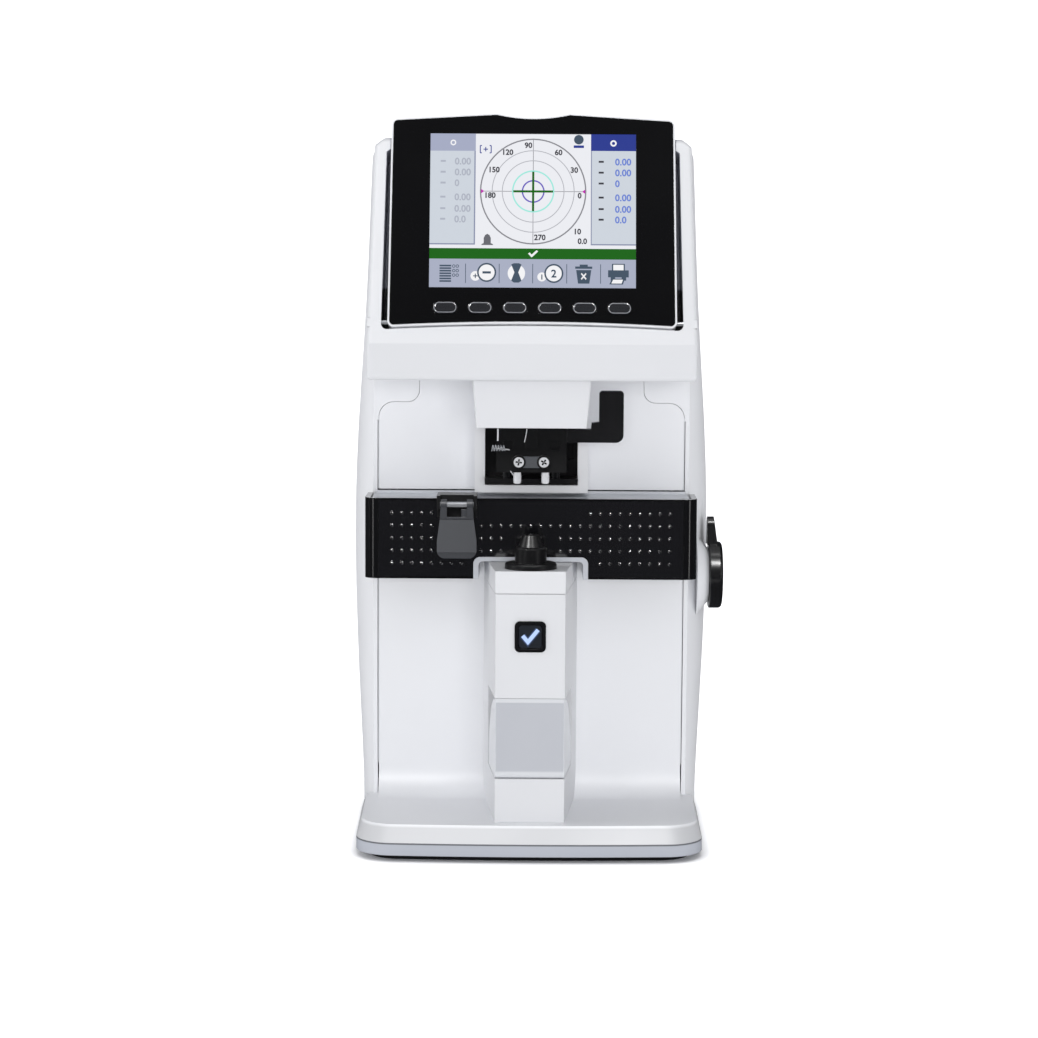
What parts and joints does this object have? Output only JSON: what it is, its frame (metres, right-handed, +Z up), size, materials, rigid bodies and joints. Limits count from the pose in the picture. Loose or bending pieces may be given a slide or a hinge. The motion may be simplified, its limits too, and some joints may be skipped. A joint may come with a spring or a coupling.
{
  "type": "auto lensmeter",
  "caption": "Desktop automatic lensmeter with a tilting screen, a spring-return lens press over a lens support, a wheel-driven lens table and a sliding nose rest.",
  "frame": {"origin": "on the surface the instrument stands on, midway between its sides, 118 mm behind the front edge of its base", "axes": "+Z up, -Y towards the user (the side with the screen), +X to the user's right"},
  "size_m": [0.2223, 0.2372, 0.4204],
  "materials": {
    "white_shell": "satin moulded shell",
    "grey_base": "satin silver-grey",
    "foot_rubber": "matt",
    "black_gloss": "gloss",
    "black_plastic": "satin",
    "table_black": "gloss",
    "wheel_grey": "satin",
    "key_face": "gloss",
    "soft_key": "satin",
    "screen": "lit display",
    "circuit_board": "matt",
    "lever_plastic": "gloss",
    "trim_grey": "satin",
    "bin_clear": "frosted translucent",
    "support_plastic": "gloss",
    "arm_rubber": "matt",
    "steel": "turned",
    "rack_plastic": "natural",
    "bronze": "sintered",
    "sheet_steel": "zinc plated",
    "lamp_metal": "black anodised",
    "lens_glass": "polished"
  },
  "bodies": {
    "casing": {"foot_ring": "foot_rubber", "base_pan": "grey_base", "front_cover": "white_shell", "upper_panel": "white_shell", "main_casing": "white_shell", "hood": "white_shell", "display_pins": "steel", "nose_cover": "white_shell", "nose_frame": "white_shell", "head_bracket": "sheet_steel", "press_rods": "steel", "press_guide": "black_plastic", "lamp_housing": "lamp_metal", "lens_support": "support_plastic", "detector_barrel": "black_plastic", "lenses": "lens_glass", "sensor_board": "circuit_board", "column_cover": "white_shell", "column_cap": "white_shell", "key_bezel": "black_plastic", "chassis": "sheet_steel", "bushes": "bronze", "main_board": "circuit_board", "power_supply": "sheet_steel", "rear_panel": "black_plastic", "power_inlet": "black_plastic", "data_ports": "black_plastic", "case_screws": "steel"},
    "display": {"display_housing": "white_shell", "display_front": "black_gloss", "lcd_panel": "screen", "key_board": "circuit_board"},
    "press": {"press_carriage": "black_plastic", "clamp_plate": "steel", "clamp_screws": "steel", "press_lever": "lever_plastic", "hook_spring": "steel"},
    "pin_left": {"press_pin_left": "steel"},
    "pin_right": {"press_pin_right": "steel"},
    "confirm": {"confirm_key": "key_face"},
    "bin": {"accessory_bin": "bin_clear"},
    "table": {"table_body": "trim_grey", "table_cover": "table_black", "table_pad": "black_plastic", "notch_trim": "trim_grey", "table_rods": "steel", "table_racks": "rack_plastic"},
    "wheel": {"drive_shaft": "steel", "hand_wheel": "wheel_grey"},
    "nose_slider": {"slider_carriage": "black_plastic", "slider_pin": "steel"},
    "nose_arm": {"nose_arm": "black_plastic", "arm_pad": "arm_rubber"},
    "rocker": {"power_rocker": "black_plastic"},
    "key_1": {"soft_key_1": "soft_key"},
    "key_2": {"soft_key_2": "soft_key"},
    "key_3": {"soft_key_3": "soft_key"},
    "key_4": {"soft_key_4": "soft_key"},
    "key_5": {"soft_key_5": "soft_key"},
    "key_6": {"soft_key_6": "soft_key"}
  },
  "joints": [
    {"name": "display_tilt", "type": "hinge", "parent": "casing", "child": "display", "pos_m": [0, -0.10422, 0.30353], "axis": [1, 0, 0], "range_deg": [0, 20]},
    {"name": "table_slide", "type": "slide", "parent": "casing", "child": "table", "axis": [0, -1, 0], "range_m": [0, 0.011]},
    {"name": "wheel_turn", "type": "hinge", "parent": "casing", "child": "wheel", "pos_m": [0, 0, 0.15], "axis": [1, 0, 0], "range_deg": [0, 52.5]},
    {"name": "nose_slide", "type": "slide", "parent": "table", "child": "nose_slider", "axis": [1, 0, 0], "range_m": [-0.037, 0.122]},
    {"name": "nose_arm_flip", "type": "hinge", "parent": "nose_slider", "child": "nose_arm", "pos_m": [-0.0427, -0.066, 0.198], "axis": [-1, 0, 0], "range_deg": [0, 92]},
    {"name": "press_slide", "type": "slide", "parent": "casing", "child": "press", "axis": [0, 0, -1], "range_m": [0, 0.025], "stiffness_N_per_m": 60, "springref_m": -0.05},
    {"name": "pin_left_lift", "type": "slide", "parent": "press", "child": "pin_left", "axis": [0, 0, 1], "range_m": [0, 0.003], "stiffness_N_per_m": 120, "springref_m": -0.002},
    {"name": "pin_right_lift", "type": "slide", "parent": "press", "child": "pin_right", "axis": [0, 0, 1], "range_m": [0, 0.003], "stiffness_N_per_m": 120, "springref_m": -0.002},
    {"name": "bin_tilt", "type": "hinge", "parent": "casing", "child": "bin", "pos_m": [0, -0.1013, 0.0483], "axis": [1, 0, 0], "range_deg": [0, 35]},
    {"name": "confirm_press", "type": "slide", "parent": "casing", "child": "confirm", "axis": [0, 1, 0], "range_m": [0, 0.0012], "stiffness_N_per_m": 400, "springref_m": -0.001},
    {"name": "rocker_tip", "type": "hinge", "parent": "casing", "child": "rocker", "pos_m": [0, 0.1118, 0.09], "axis": [1, 0, 0], "range_deg": [-16, 0]},
    {"name": "key_1_press", "type": "slide", "parent": "display", "child": "key_1", "axis": [0, 0.9711, -0.2385], "range_m": [0, 0.0012], "stiffness_N_per_m": 400, "springref_m": -0.001},
    {"name": "key_2_press", "type": "slide", "parent": "display", "child": "key_2", "axis": [0, 0.9711, -0.2385], "range_m": [0, 0.0012], "stiffness_N_per_m": 400, "springref_m": -0.001},
    {"name": "key_3_press", "type": "slide", "parent": "display", "child": "key_3", "axis": [0, 0.9711, -0.2385], "range_m": [0, 0.0012], "stiffness_N_per_m": 400, "springref_m": -0.001},
    {"name": "key_4_press", "type": "slide", "parent": "display", "child": "key_4", "axis": [0, 0.9711, -0.2385], "range_m": [0, 0.0012], "stiffness_N_per_m": 400, "springref_m": -0.001},
    {"name": "key_5_press", "type": "slide", "parent": "display", "child": "key_5", "axis": [0, 0.9711, -0.2385], "range_m": [0, 0.0012], "stiffness_N_per_m": 400, "springref_m": -0.001},
    {"name": "key_6_press", "type": "slide", "parent": "display", "child": "key_6", "axis": [0, 0.9711, -0.2385], "range_m": [0, 0.0012], "stiffness_N_per_m": 400, "springref_m": -0.001}
  ],
  "couplings": [
    {"joint": "wheel_turn", "follows": "table_slide", "rad_per_m": 83.333}
  ]
}
